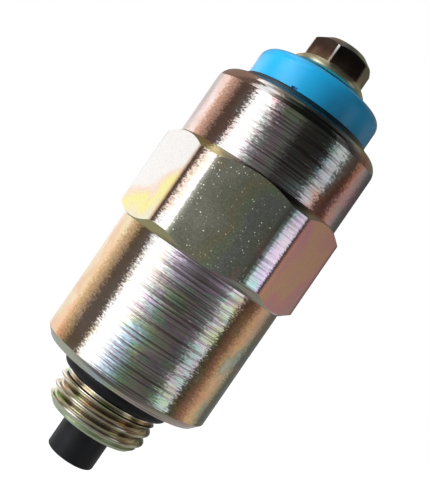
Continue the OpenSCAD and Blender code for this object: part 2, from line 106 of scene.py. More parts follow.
class Nodes:
    """A short way to write a shader's nodes. A value may be a number or another node's socket."""

    def __init__(self, name):
        self.material = bpy.data.materials.new(name)
        self.material.use_nodes = True
        self.tree = self.material.node_tree
        self.shader = self.tree.nodes["Principled BSDF"]
        self.place = self.add("ShaderNodeTexCoord").outputs["Object"]

    def add(self, kind, **settings):
        node = self.tree.nodes.new(kind)
        for key, value in settings.items():
            setattr(node, key, value)
        return node

    def link(self, source, target):
        self.tree.links.new(source, target)

    def feed(self, socket, value):
        if isinstance(value, bpy.types.NodeSocket):
            self.link(value, socket)
        else:
            socket.default_value = value

    def stretch(self, vector, scale):
        node = self.add("ShaderNodeVectorMath", operation="MULTIPLY")
        self.feed(node.inputs[0], vector)
        self.feed(node.inputs[1], scale)
        return node.outputs[0]

    def noise(self, scale, detail=2.0, roughness=0.5, offset=(0, 0, 0)):
        shift = self.add("ShaderNodeVectorMath", operation="ADD")
        self.link(self.stretch(self.place, scale), shift.inputs[0])
        shift.inputs[1].default_value = offset
        node = self.add("ShaderNodeTexNoise")
        node.inputs["Scale"].default_value = 1.0
        node.inputs["Detail"].default_value = detail
        node.inputs["Roughness"].default_value = roughness
        self.link(shift.outputs[0], node.inputs["Vector"])
        return node.outputs["Fac"]

    def ramp(self, value, stops):
        """A colour that runs through stops, each a place from 0 to 1 and a colour."""
        node = self.add("ShaderNodeValToRGB")
        points = node.color_ramp.elements
        while len(points) < len(stops):
            points.new(0.5)
        for point, (place, colour) in zip(points, stops):
            point.position = place
            point.color = (*colour, 1.0)
        self.link(value, node.inputs["Fac"])
        return node.outputs["Color"]

    def span(self, value, low, high, new_low, new_high):
        """The value moved from one span to another and kept inside it."""
        node = self.add("ShaderNodeMapRange")
        self.link(value, node.inputs["Value"])
        node.inputs["From Min"].default_value = low
        node.inputs["From Max"].default_value = high
        node.inputs["To Min"].default_value = new_low
        node.inputs["To Max"].default_value = new_high
        return node.outputs["Result"]

    def mix(self, amount, a, b, blend="MIX"):
        node = self.add("ShaderNodeMix", data_type="RGBA", blend_type=blend)
        self.feed(node.inputs["Factor"], amount)
        self.feed(node.inputs["A"], a if isinstance(a, bpy.types.NodeSocket) else (*a, 1.0))
        self.feed(node.inputs["B"], b if isinstance(b, bpy.types.NodeSocket) else (*b, 1.0))
        return node.outputs["Result"]

    def bump(self, height, strength, microns, normal=None):
        node = self.add("ShaderNodeBump")
        node.inputs["Strength"].default_value = strength
        node.inputs["Distance"].default_value = microns * MICRON
        self.link(height, node.inputs["Height"])
        if normal is not None:
            self.link(normal, node.inputs["Normal"])
        return node.outputs["Normal"]

    def calculate(self, operation, a, b):
        node = self.add("ShaderNodeMath", operation=operation)
        self.feed(node.inputs[0], a)
        self.feed(node.inputs[1], b)
        return node.outputs[0]

    def times(self, a, b):
        return self.calculate("MULTIPLY", a, b)

    def plus(self, a, b):
        return self.calculate("ADD", a, b)

    def opposite(self, share):
        """One minus a share."""
        return self.plus(1.0, self.times(share, -1.0))

    def xyz(self):
        """The place on the part as X, Y and Z."""
        node = self.add("ShaderNodeSeparateXYZ")
        self.link(self.place, node.inputs[0])
        return node.outputs["X"], node.outputs["Y"], node.outputs["Z"]

    def from_axis(self):
        """Distance from the part's axis."""
        node = self.add("ShaderNodeVectorMath", operation="LENGTH")
        self.link(self.stretch(self.place, (1, 1, 0)), node.inputs[0])
        return node.outputs["Value"]

    def normal(self):
        return self.add("ShaderNodeNewGeometry").outputs["Normal"]

    def scaled(self, vector, amount):
        node = self.add("ShaderNodeVectorMath", operation="SCALE")
        self.feed(node.inputs[0], vector)
        self.link(amount, node.inputs["Scale"])
        return node.outputs[0]

    def leaning(self, shift):
        """The surface's normal with a small vector added to it."""
        total = self.add("ShaderNodeVectorMath", operation="ADD")
        self.link(self.normal(), total.inputs[0])
        self.link(shift, total.inputs[1])
        unit = self.add("ShaderNodeVectorMath", operation="NORMALIZE")
        self.link(total.outputs[0], unit.inputs[0])
        return unit.outputs[0]

    def sideways(self, amount):
        """The surface's normal turned round the part's axis by a signed amount."""
        across = self.add("ShaderNodeVectorMath", operation="CROSS_PRODUCT")
        across.inputs[0].default_value = (0, 0, 1)
        self.link(self.normal(), across.inputs[1])
        return self.leaning(self.scaled(across.outputs[0], amount))

    def finish(self, colour, roughness, normal=None, metallic=0.0, **values):
        """Sets the shader's inputs and gives back the material."""
        self.link(colour, self.shader.inputs["Base Color"])
        self.feed(self.shader.inputs["Roughness"], roughness)
        self.feed(self.shader.inputs["Metallic"], metallic)
        if normal is not None:
            self.link(normal, self.shader.inputs["Normal"])
        for key, value in values.items():
            self.shader.inputs[key.replace("_", " ")].default_value = value
        return self.material


# Hues of the chromate film. A finish's list runs across the part, from its left side to its right.
PINK = (0.90, 0.58, 0.54)
# Painted highlight: a pale hue set in the lists where the bright strips' reflections fall, so that they
# read white
HIGHLIGHT_SILVER = (0.84, 0.81, 0.80)
GREEN = (0.58, 0.76, 0.54)
GREY = (0.66, 0.60, 0.60)
LAVENDER = (0.76, 0.68, 0.90)
MINT = (0.62, 0.80, 0.74)
OLIVE = (0.58, 0.58, 0.42)
OCHRE = (0.96, 0.60, 0.36)
WHITISH = (0.98, 0.97, 0.95)
SAGE = (0.74, 0.74, 0.58)
MOSS = (0.46, 0.48, 0.38)
TEAL = (0.48, 0.86, 0.78)
KHAKI = (0.62, 0.56, 0.26)
DARK_STREAK = (0.26, 0.20, 0.20)
AZURE = (0.70, 0.86, 1.0)
LEAF = (0.62, 0.82, 0.42)
PLUM = (0.66, 0.50, 0.64)
ORCHID = (0.94, 0.74, 0.96)
PALE_STREAK = (0.95, 0.94, 0.92)

# In these lists the silver entries are painted highlight, placed under the bright strips' reflections
BODY_HUES = [
    (0.02, (0.98, 0.90, 0.70)), (0.09, (0.88, 0.62, 0.52)), (0.13, (0.92, 0.76, 0.46)),
    (0.165, (0.90, 0.56, 0.34)), (0.21, (0.86, 0.70, 0.40)), (0.27, (0.84, 0.70, 0.52)),
    (0.31, (0.92, 0.82, 0.74)), (0.345, HIGHLIGHT_SILVER), (0.40, HIGHLIGHT_SILVER), (0.43, AZURE), (0.47, GREEN),
    (0.52, LEAF), (0.56, GREY), (0.60, PLUM), (0.64, TEAL), (0.69, HIGHLIGHT_SILVER), (0.72, KHAKI),
    (0.755, (0.86, 0.50, 0.36)), (0.80, (0.94, 0.62, 0.38)), (0.83, (0.88, 0.70, 0.40)),
    (0.85, OLIVE), (0.88, MINT),
]
UPPER_HUES = [
    (0.02, (0.92, 0.82, 0.78)), (0.15, (0.88, 0.68, 0.64)), (0.175, (0.95, 0.78, 0.76)),
    (0.22, (0.88, 0.62, 0.52)), (0.30, (0.88, 0.66, 0.60)), (0.345, HIGHLIGHT_SILVER), (0.39, HIGHLIGHT_SILVER),
    (0.42, (0.90, 0.62, 0.62)), (0.46, (0.74, 0.60, 0.56)), (0.49, LEAF), (0.52, GREEN),
    (0.55, OLIVE), (0.61, (0.62, 0.52, 0.44)), (0.65, TEAL), (0.69, (0.86, 0.92, 0.92)),
    (0.72, HIGHLIGHT_SILVER), (0.755, (0.84, 0.48, 0.36)), (0.785, (0.80, 0.42, 0.34)),
    (0.81, (0.92, 0.54, 0.54)), (0.83, (0.92, 0.56, 0.56)), (0.85, (0.82, 0.58, 0.52)), (0.88, GREY),
]
COLLAR_HUES = [
    (0.20, (0.90, 0.66, 0.54)), (0.28, (0.92, 0.74, 0.64)), (0.31, HIGHLIGHT_SILVER), (0.36, HIGHLIGHT_SILVER),
    (0.45, OLIVE), (0.60, GREEN), (0.65, TEAL), (0.68, LAVENDER), (0.71, ORCHID),
    (0.75, (1.0, 0.80, 0.94)), (0.80, PINK),
]
CONE_HUES = [
    (0.10, SAGE), (0.24, KHAKI), (0.38, KHAKI), (0.50, OLIVE), (0.60, KHAKI), (0.75, OLIVE), (0.85, PINK),
]
FOOT_HUES = [
    (0.12, (0.86, 0.92, 0.76)), (0.30, (0.80, 0.82, 0.64)), (0.48, (0.68, 0.68, 0.54)),
    (0.62, (0.74, 0.66, 0.54)), (0.80, (0.86, 0.64, 0.58)),
]
FLAT_HUES = [
    (0.0, WHITISH), (0.15, WHITISH), (0.19, (1.0, 0.80, 0.66)), (0.24, (1.0, 0.95, 0.36)),
    (0.29, (0.98, 0.88, 0.62)), (0.34, (0.92, 0.92, 0.76)), (0.39, (0.90, 0.90, 0.72)),
    (0.45, (0.68, 0.69, 0.52)), (0.50, (0.69, 0.64, 0.42)), (0.55, (0.56, 0.65, 0.44)),
    (0.61, (0.52, 0.54, 0.50)), (0.68, MOSS), (0.73, (0.98, 0.48, 0.50)),
    (0.79, (0.98, 0.54, 0.44)), (0.83, OCHRE), (0.90, (0.98, 0.48, 0.46)), (1.0, (0.80, 0.52, 0.50)),
]
# Hues of the film's loose patches
PATCH_HUES = [
    (0.36, (0.60, 0.80, 0.98)), (0.41, (0.42, 0.84, 0.76)), (0.455, (0.58, 0.82, 0.34)),
    (0.50, (0.80, 0.76, 0.52)), (0.545, (0.70, 0.44, 0.60)), (0.59, (0.44, 0.80, 0.56)),
    (0.64, (0.92, 0.66, 0.92)),
]
# How strongly the turned lines show across the part, from its left side to its right: their dark and pale
# streaks are painted reflection, strongest along the front
FRONT_STREAKS = [
    (0.20, (0.04, 0.04, 0.04)), (0.29, (0.20, 0.20, 0.20)), (0.40, (1.0, 1.0, 1.0)),
    (0.72, (1.0, 1.0, 1.0)), (0.82, (0.12, 0.12, 0.12)),
]
# How far across its hues the film goes over the part's width, its height and its patches
FILM_LEAN, FILM_CLIMB, FILM_SPREAD = 0.42, 0.012, 0.085


def film_place(m, offset):
    """Where the film is in its run of hues. It drifts across and up the part, in soft patches."""
    x, _, z = m.xyz()
    drift = m.span(x, -COLLAR_R * MM, COLLAR_R * MM, 0.5 - FILM_LEAN, 0.5 + FILM_LEAN)
    rise = m.span(z, 0.0, FILM_TOP_Z, -FILM_CLIMB, FILM_CLIMB)
    patch = m.span(m.noise((190, 190, 150), 3.0, 0.55, offset), 0.25, 0.75, -FILM_SPREAD, FILM_SPREAD)
    return m.plus(m.plus(drift, rise), patch)


def turned_metal(name, hues, tear, offset, patches=0.66):
    """Chromate over fine turned lines, whose dark and pale streaks are painted reflection, strongest
    along the front.

    tear is how far the lines pull reflections apart, and patches how strong the loose patches of hue are.
    """
    m = Nodes(name)
    x, _, _ = m.xyz()
    front_streaks = m.ramp(m.span(x, *FRONT_STREAKS_X, 0.0, 1.0), FRONT_STREAKS)
    colour = m.ramp(film_place(m, offset), hues)
    cloud = m.noise((125, 125, 170), 1.0, 0.5, (6, 2, 9))
    streak = m.span(m.noise((120, 120, 3600), 2.0, 0.6, (2, 9, 5)), 0.3, 0.7, -0.045, 0.045)
    colour = m.mix(m.times(front_streaks, patches), colour, m.ramp(m.plus(cloud, streak), PATCH_HUES))
    lines = m.noise((60, 60, 4300), 2.0, 0.7, offset)
    fine = m.noise((110, 110, 6400), 2.0, 0.7, (3, 9, 1))
    # Painted reflection: dark and pale streaks along the turned lines, strongest along the front
    colour = m.mix(m.times(front_streaks, m.span(lines, 0.48, 0.58, 0.0, 0.9)), colour, DARK_STREAK)
    colour = m.mix(m.times(front_streaks, m.span(fine, 0.54, 0.64, 0.0, 0.6)), colour, PALE_STREAK)
    torn = m.span(m.noise((110, 110, 5200), 3.0, 0.7, (7, 4, 2)), 0.50, 0.64, 0.0, tear)
    torn = m.times(front_streaks, torn)
    jag = m.span(m.noise((2200, 2200, 5600), 2.0, 0.6, (5, 1, 2)), 0.2, 0.8, -0.075, 0.075)
    pull = m.span(m.noise((380, 380, 6200), 3.0, 0.65, (1, 8, 3)), 0.2, 0.8, -1.0, 1.0)
    normal = m.sideways(m.plus(jag, m.times(pull, torn)))
    normal = m.bump(fine, 0.15, 10, normal)
    return m.finish(colour, m.span(lines, 0.35, 0.7, 0.08, 0.13), normal, 1.0)


def flat_metal():
    """Milled flats: soft film patches, and on the front flat a scatter of small bright flecks."""
    m = Nodes("milled_chromate")
    x, _, z = m.xyz()
    near, far = FLAT_SIDE_X
    off_left = m.span(x, -far, -near, 0.0, 1.0)
    off_right = m.span(x, near, far, 1.0, 0.0)
    front = m.times(off_left, off_right)
    drift = m.plus(m.span(x, -COLLAR_R * MM, COLLAR_R * MM, 0.16, 0.84),
                   m.plus(m.times(off_left, 0.1), m.times(off_right, -0.1)))
    rise = m.times(m.span(z, *FLAT_Z, 0.16, -0.16), m.plus(1.0, m.times(off_left, -0.85)))
    patch = m.span(m.noise((150, 150, 150), 2.0, 0.5, (4, 6, 3)), 0.3, 0.7, -0.07, 0.07)
    colour = m.ramp(m.plus(m.plus(drift, rise), patch), FLAT_HUES)
    frost = m.noise((2600, 2600, 2600), 3.0, 0.7, (2, 2, 7))
    colour = m.mix(m.times(front, m.span(frost, 0.42, 0.62, 0.0, 0.35)), colour, MOSS, "MULTIPLY")

    cells = m.add("ShaderNodeTexVoronoi")
    cells.inputs["Scale"].default_value = 3400.0
    m.link(m.place, cells.inputs["Vector"])
    chance = m.add("ShaderNodeSeparateColor")
    m.link(cells.outputs["Color"], chance.inputs[0])
    crowd = m.span(m.noise((260, 260, 260), 2.0, 0.5, (9, 9, 2)), 0.35, 0.65, -0.3, 0.1)
    chosen = m.span(m.plus(chance.outputs[0], crowd), 0.40, 0.85, 0.0, 1.0)
    fleck = m.times(m.span(cells.outputs["Distance"], 0.16, 0.30, 1.0, 0.0), chosen)
    normal = m.leaning(m.scaled((-0.44, 0.0, 0.05), m.times(fleck, front)))
    normal = m.bump(frost, 0.12, 10, normal)
    return m.finish(colour, m.span(frost, 0.3, 0.7, 0.24, 0.32), normal, 1.0)


def thread_metal():
    """Green-gold film on a smooth rolled thread, with painted shade in its roots and towards its right
    side, greener on the chamfered end.
    """
    m = Nodes("thread_chromate")
    x, _, z = m.xyz()
    film = m.ramp(m.noise((300, 300, 600), 2.0, 0.5), [
        (0.34, (0.90, 0.66, 0.50)), (0.43, (1.0, 0.96, 0.80)), (0.54, (1.0, 0.96, 0.86)),
        (0.61, (0.84, 0.88, 0.56)), (0.68, (0.60, 0.78, 0.46)),
    ])
    chamfer = m.span(z, *NOSE_CHAMFER_Z, 1.0, 0.0)
    # Painted shade: the thread's roots are darkened, except on the chamfered end
    root_shade = m.times(m.span(m.from_axis(), *THREAD_ROOT_R, 0.8, 0.0), m.opposite(chamfer))
    film = m.mix(root_shade, film, (0.22, 0.16, 0.10))
    colour = m.mix(chamfer, film, (0.82, 0.94, 0.70))
    # Painted shade: the thread grows darker towards its right side
    colour = m.mix(m.span(x, *THREAD_SHADE_X, 0.0, 0.45), colour, (0.50, 0.46, 0.28), "MULTIPLY")
    lines = m.noise((500, 500, 5000), 3.0, 0.6, (2, 8, 4))
    return m.finish(colour, m.span(chamfer, 0.0, 1.0, 0.10, 0.34), m.bump(lines, 0.12, 20), 1.0)


def screw_metal():
    """Dark brown film on the hexagon, olive above, a painted highlight along its corners, and a pale
    yellow flange.
    """
    m = Nodes("screw_chromate")
    x, _, z = m.xyz()
    climb = m.span(z, FLANGE_TOP_Z, HEX_TOP_Z, 0.0, 1.0)
    patch = m.span(m.noise((420, 420, 420), 2.0, 0.5, (1, 2, 6)), 0.3, 0.7, -0.25, 0.25)
    film = m.ramp(m.plus(climb, patch), [
        (0.0, (0.94, 0.72, 0.52)), (0.26, (0.52, 0.34, 0.26)), (0.50, (0.30, 0.22, 0.19)),
        (0.80, (0.34, 0.29, 0.25)), (1.0, (0.54, 0.52, 0.38)),
    ])
    flange = m.span(z, FLANGE_TOP_Z - FLANGE_BLEND, FLANGE_TOP_Z + FLANGE_BLEND, 1.0, 0.0)
    colour = m.mix(flange, film, (0.96, 0.94, 0.66))
    # Painted highlight: pale, less metallic colour along the hexagon's corners, strongest on the left and
    # higher up
    corner = m.times(m.span(m.from_axis(), *HEX_CORNER_R, 0.0, 1.0), m.opposite(flange))
    glint_side = m.times(m.span(x, *HEX_GLINT_X, 0.9, 0.25), m.span(climb, 0.2, 0.6, 0.35, 1.0))
    corner = m.times(corner, glint_side)
    colour = m.mix(corner, colour, (0.93, 0.91, 0.84))
    lines = m.noise((900, 900, 900), 4.0, 0.65, (2, 8, 4))
    rough = m.plus(m.span(lines, 0.3, 0.7, 0.10, 0.20), m.times(flange, 0.16))
    return m.finish(colour, rough, m.bump(lines, 0.12, 20), m.opposite(corner))


def rubber(name, colour, shine):
    """Matt rubber with faint lighter patches and a fine grain."""
    m = Nodes(name)
    cloud = m.noise((700, 700, 700), 4.0, 0.6)
    base = m.mix(m.span(cloud, 0.35, 0.7, 0.0, 1.0), colour, tuple(2.0 * c for c in colour))
    grain = m.noise((5000, 5000, 5000), 3.0, 0.6)
    return m.finish(base, m.span(grain, 0.3, 0.7, shine - 0.06, shine + 0.08), m.bump(grain, 0.25, 20))


def plastic(name, colour, deep, shine, coat=0.0):
    """A moulding: two close colours in soft clouds, and a fine grain."""
    m = Nodes(name)
    cloud = m.noise((260, 260, 260), 3.0, 0.55)
    grain = m.noise((6500, 6500, 6500), 3.0, 0.6)
    base = m.mix(m.span(cloud, 0.3, 0.7, 0.0, 1.0), colour, deep)
    return m.finish(base, m.span(grain, 0.3, 0.7, shine - 0.05, shine + 0.07),
                    m.bump(grain, 0.22, 15), Coat_Weight=coat, Coat_Roughness=0.15)


def machined(name, light, dark, line_scale, low=0.2, high=0.34):
    """Bare metal with tool lines; low and high are its roughness."""
    m = Nodes(name)
    lines = m.noise(line_scale, 3.0, 0.6)
    base = m.mix(m.span(lines, 0.35, 0.7, 0.0, 1.0), light, dark)
    patches = m.noise((200, 200, 200), 2.0)
    base = m.mix(m.span(patches, 0.4, 0.7, 0.0, 0.3), base, dark)
    return m.finish(base, m.span(lines, 0.3, 0.7, low, high), m.bump(lines, 0.3, 20), 1.0)


def wound_copper():
    """Enamelled wire laid in even turns."""
    m = Nodes("enamelled_copper")
    wave = m.add("ShaderNodeTexWave", bands_direction="Z")
    wave.inputs["Scale"].default_value = 900.0
    wave.inputs["Distortion"].default_value = 0.3
    m.link(m.place, wave.inputs["Vector"])
    turns = wave.outputs["Fac"]
    base = m.mix(m.span(turns, 0.0, 1.0, 0.0, 1.0), (0.30, 0.10, 0.04), (0.72, 0.31, 0.15))
    return m.finish(base, 0.28, m.bump(turns, 0.6, 100), 1.0)


TURNED = turned_metal("turned_chromate", BODY_HUES, 0.30, (0, 0, 0))
UPPER = turned_metal("upper_chromate", UPPER_HUES, 0.24, (4, 7, 1), 0.3)
COLLAR = turned_metal("collar_chromate", COLLAR_HUES, 0.08, (2, 5, 8), 0.25)
CONE = turned_metal("cone_chromate", CONE_HUES, 0.08, (8, 1, 5))
FOOT = turned_metal("foot_chromate", FOOT_HUES, 0.08, (3, 3, 6))
# Painted shade: the lip and the top of the shoulder are near-black brown, so that they stay dark and
# hardly reflect the cap
LIP_SHADE = machined("lip_painted_shade", (0.16, 0.13, 0.10), (0.08, 0.06, 0.05), (200, 200, 4000))
MILLED = flat_metal()
THREAD = thread_metal()
SCREW = screw_metal()
# Painted shade: the lock washer is near black, so that the gap under the screw's flange reads as shadow
SHADED_WASHER = machined("washer_painted_shade", (0.10, 0.09, 0.07), (0.05, 0.05, 0.04), (600, 600, 3000), 0.3, 0.45)
NOSE_RUBBER = rubber("nose_rubber", (0.003, 0.004, 0.006), 0.46)
TIP_RUBBER = rubber("tip_rubber", (0.005, 0.006, 0.008), 0.42)
BLUE = plastic("blue_moulding", (0.004, 0.47, 0.90), (0.004, 0.41, 0.82), 0.36, 0.8)
BOBBIN = plastic("bobbin_moulding", (0.03, 0.03, 0.035), (0.02, 0.02, 0.024), 0.4)
TAPE = plastic("winding_tape", (0.75, 0.62, 0.30), (0.62, 0.48, 0.2), 0.3)
FIBRE = plastic("fibre", (0.30, 0.10, 0.05), (0.2, 0.06, 0.03), 0.5)
SLEEVING = plastic("varnished_sleeving", (0.45, 0.03, 0.02), (0.3, 0.02, 0.015), 0.35)
BRASS = machined("brass", (0.78, 0.58, 0.27), (0.55, 0.38, 0.15), (300, 300, 6000))
ARMATURE = machined("ground_steel", (0.34, 0.35, 0.37), (0.2, 0.2, 0.22), (300, 300, 9000))
CORE = machined("turned_core", (0.58, 0.59, 0.61), (0.36, 0.36, 0.38), (300, 300, 7000))
WIRE = machined("spring_wire", (0.62, 0.62, 0.63), (0.4, 0.4, 0.41), (3000, 3000, 300))
SOLDER = machined("solder", (0.68, 0.69, 0.70), (0.5, 0.5, 0.52), (900, 900, 900), 0.24, 0.42)
COPPER = wound_copper()

FINISHES = {
    "case": TURNED, "nose_ring": NOSE_RUBBER, "armature": ARMATURE, "valve_tip": TIP_RUBBER,
    "return_spring": WIRE, "pole_shim": BRASS, "pole_piece": CORE, "guide_sleeve": BRASS,
    "sleeve_ring": NOSE_RUBBER, "coil_bobbin": BOBBIN, "coil_winding": COPPER, "winding_tape": TAPE,
    "flux_plate": CORE, "insulating_cup": FIBRE, "disc_spring": WIRE, "terminal_cap": BLUE,
    "cap_ring": NOSE_RUBBER, "terminal_insert": BRASS, "contact_tag": BRASS, "live_lead": COPPER,
    "lead_sleeve": SLEEVING, "earth_lead": COPPER, "solder_joint": SOLDER, "lock_washer": SHADED_WASHER,
    "terminal_screw": SCREW,
}
for name, finish in FINISHES.items():
    for holder in NODES[name].material_slots:
        holder.material = finish


# The case, with its real helical thread

def sector_angles():
    """Angles round the axis: flats are centred on -90, -30, 30 degrees and so on."""
    edge = math.degrees(math.acos(FLAT_R / COLLAR_R))
    angles = []
    for k in range(6):
        centre = -90 + 60 * k
        angles += [centre - edge + 2 * edge * i / FLAT_STEPS for i in range(FLAT_STEPS)]
        angles += [centre + edge + (60 - 2 * edge) * i / CORNER_STEPS for i in range(CORNER_STEPS)]
    return angles


ANGLES = sector_angles()
COUNT = len(ANGLES)


def off_flat(angle):
    """Angle between a direction and the nearest flat's middle, in radians."""
    return math.radians((angle + 90 + 30) % 60 - 30)


def thread_radius(angle, z):
    """The nose's outside: the thread from the end's chamfer up, then a groove, a rim and the undercut."""
    crest = CREST_FRONT_Z + PITCH * angle / 360
    u = abs((z - crest) / PITCH - round((z - crest) / PITCH))
    depth = min(max((u - CREST_HALF) / FLANK, 0.0), 1.0) ** FLANK_CURVE
    radius = THREAD_R - THREAD_DEPTH * depth
    if z > RIM_HIGH:
        return UNDERCUT_R + (UNDERCUT_Z - z) / (UNDERCUT_Z - RIM_HIGH) * (RIM_R - UNDERCUT_R)
    if z > RIM_LOW:
        return RIM_R
    if z > GROOVE_Z:
        return RIM_R + (RIM_LOW - z) / (RIM_LOW - GROOVE_Z) * (GROOVE_R - RIM_R)
    start = GROOVE_R + (GROOVE_Z - z) / (GROOVE_Z - FIRST_CREST_Z) * (THREAD_R - GROOVE_R)
    end = THREAD_R - NOSE_CHAMFER + (z - NOSE_END)
    return max(min(radius, start, end), UNDERCUT_R)


def collar_radius(angle):
    """The collar's section: a circle cut by six flats, with slightly rounded edges between them.

    The rounding takes off a quarter of EDGE_ROUNDING where circle and flat meet.
    """
    flat = FLAT_R / math.cos(off_flat(angle))
    share = min(max(0.5 + 0.5 * (COLLAR_R - flat) / EDGE_ROUNDING, 0.0), 1.0)
    return COLLAR_R + (flat - COLLAR_R) * share - EDGE_ROUNDING * share * (1 - share)


def collar_point(angle, share, high):
    """A point of the cone at one end of the collar: share 0 at the body, 1 at the flat or the collar."""
    radius = collar_radius(angle)
    radius = BODY_R + (radius - BODY_R) * share
    rise = (radius - BODY_R) / (COLLAR_R - BODY_R) * COLLAR_CHAMFER
    return radius, (COLLAR_HIGH - rise if high else COLLAR_LOW + rise)


def side_point(angle, share):
    """A point of a flat or of the turned collar between them, from the lower cone to the upper one."""
    radius, low = collar_point(angle, 1, False)
    return radius, low * (1 - share) + collar_point(angle, 1, True)[1] * share


def case_rings():
    """Every ring of the case from the nose's end up the outside and down the inside, with a kind.

    A ring is a function that gives the radius and height at an angle.
    """
    rings = []

    def add(kind, where):
        rings.append((where, kind))

    def add_round(kind, *points):
        for radius, z in points:
            add(kind, lambda angle, radius=radius, z=z: (radius, z))

    add_round("turned", (NOSE_BORE_R, NOSE_END + NOSE_BORE_CHAMFER),
              (NOSE_BORE_R + NOSE_BORE_CHAMFER, NOSE_END))
    for i in range(THREAD_ROWS + 1):
        z = NOSE_END + (UNDERCUT_Z - NOSE_END) * i / THREAD_ROWS
        add("thread", lambda angle, z=z: (thread_radius(angle, z), z))
    add_round("turned", (UNDERCUT_R, RING_SEAT_Z), (RING_SEAT_R, RING_SEAT_Z))
    add_round("turned", *SEAT_EDGES)
    add_round("foot", *FOOT_CHAMFER)
    add_round("turned", *LOWER_BODY)
    for share in (0.0, 0.5):
        add("cone", lambda angle, share=share: collar_point(angle, share, False))
    for i in range(COLLAR_ROWS + 1):
        add("flat", lambda angle, share=i / COLLAR_ROWS: side_point(angle, share))
    add("cone", lambda angle: collar_point(angle, 0.5, True))
    add("upper", lambda angle: collar_point(angle, 0.0, True))
    add_round("upper", *UPPER_BODY)
    for i in range(SHOULDER_ROWS + 1):
        a = math.radians(90 * i / SHOULDER_ROWS)
        # The shoulder's upper half and the lip take the painted shade finish
        add_round("lip" if i > SHOULDER_ROWS / 2 else "upper", (
            BODY_R - SHOULDER_R + SHOULDER_R * math.cos(a), SHOULDER_Z + SHOULDER_R * math.sin(a)))
    add_round("lip", *LIP_EDGE, (LIP_R, LIP_UNDER_Z), (CHAMBER_R, LIP_UNDER_Z))
    add_round("turned", (CHAMBER_R, CHAMBER_FLOOR_Z), (SLEEVE_SEAT_R, CHAMBER_FLOOR_Z),
              (SLEEVE_SEAT_R, SLEEVE_SEAT_Z), (NOSE_BORE_R, SLEEVE_SEAT_Z))
    return rings


def face_kind(kind, next_kind, on_flat):
    """The kind of a face, from the kinds of its ring and the next one."""
    if kind == next_kind == "flat":
        return "flat" if on_flat else "collar"
    if kind == next_kind == "thread":
        return "thread"
    if kind in ("cone", "flat") or next_kind == "flat":
        return "cone"
    return kind if kind in ("upper", "lip", "foot") else "turned"


CASE_FINISHES = {
    "turned": TURNED, "flat": MILLED, "thread": THREAD, "collar": COLLAR,
    "cone": CONE, "upper": UPPER, "lip": LIP_SHADE, "foot": FOOT,
}
SLOTS = {kind: number for number, kind in enumerate(CASE_FINISHES)}


def build_case():
    """The case as one closed mesh, made of faces between each ring and the next."""
    rings = case_rings()
    mesh = bmesh.new()
    grid = []
    for where, _ in rings:
        row = []
        for angle in ANGLES:
            radius, z = where(angle)
            a = math.radians(angle)
            row.append(mesh.verts.new((radius * math.cos(a) * MM, radius * math.sin(a) * MM, z * MM)))
        grid.append(row)
    for i, (_, kind) in enumerate(rings):
        after = (i + 1) % len(rings)
        for j in range(COUNT):
            k = (j + 1) % COUNT
            face = mesh.faces.new((grid[i][j], grid[i][k], grid[after][k], grid[after][j]))
            face.smooth = True
            on_flat = j % (FLAT_STEPS + CORNER_STEPS) < FLAT_STEPS
            face.material_index = SLOTS[face_kind(kind, rings[after][1], on_flat)]
    mesh.normal_update()
    for edge in mesh.edges:
        if len(edge.link_faces) == 2:
            on_thread = all(face.material_index == SLOTS["thread"] for face in edge.link_faces)
            if edge.calc_face_angle(0.0) > SHARP_EDGE and not on_thread:
                edge.smooth = False
    data = bpy.data.meshes.new("case_body")
    mesh.to_mesh(data)
    mesh.free()
    for material in CASE_FINISHES.values():
        data.materials.append(material)
    piece = bpy.data.objects.new("case_body", data)
    SCENE.collection.objects.link(piece)
    shade = piece.modifiers.new("shade", "WEIGHTED_NORMAL")
    shade.keep_sharp = True
    return piece


case_body = build_case()
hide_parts("case")
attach(case_body, "housing")


# Stage: white surroundings, toned cards that only reflections see, soft lamps and a pale floor

# Tints of the cards
BROWN = (1.0, 0.80, 0.68)
COOL = (0.94, 0.96, 1.0)
MOSSY = (1.0, 1.0, 0.72)
IVORY = (1.0, 0.97, 0.82)

# Places and sizes of the cards and the floor in metres
CARD_R = 0.32
CARD_LOW, LOW_ROW, HIGH_ROW, BROW_Z, CARD_HIGH = -1.4, -0.03, 0.08, 0.112, 1.4
MIDDLE_ROW = (LOW_ROW + HIGH_ROW) / 2
OVER_Z, UNDER_Z = 0.42, -0.07
FLOOR_HALF, FLOOR_Z = 3.0, -0.17

# Strengths of the floor's glow and of the light from the surroundings
FLOOR_GLOW = 0.85
SOFT_LIGHT = 0.2

# Degrees between a card's columns, and columns round a disc
CARD_STEP = 2
DISC_STEPS = 72


def tone(value, tint=(1, 1, 1)):
    """A card's colour: a brightness times a tint."""
    return tuple(value * t for t in tint)


def blend(a, b, share):
    return a + (b - a) * share


def blend_colour(a, b, share):
    return tuple(blend(p, q, share) for p, q in zip(a, b))


def round_axis(azimuth, radius, z):
    """A point at an azimuth in degrees, which is 0 towards the camera."""
    turn = math.radians(azimuth)
    return radius * math.sin(turn), -radius * math.cos(turn), z


def glow_material(name):
    """A material that gives off the colour stored at each of a card's corners."""
    material = bpy.data.materials.new(name)
    material.use_nodes = True
    tree = material.node_tree
    tree.nodes.clear()
    attribute = tree.nodes.new("ShaderNodeAttribute")
    attribute.attribute_name = "tone"
    glow = tree.nodes.new("ShaderNodeEmission")
    out = tree.nodes.new("ShaderNodeOutputMaterial")
    tree.links.new(attribute.outputs["Color"], glow.inputs["Color"])
    tree.links.new(glow.outputs[0], out.inputs["Surface"])
    return material


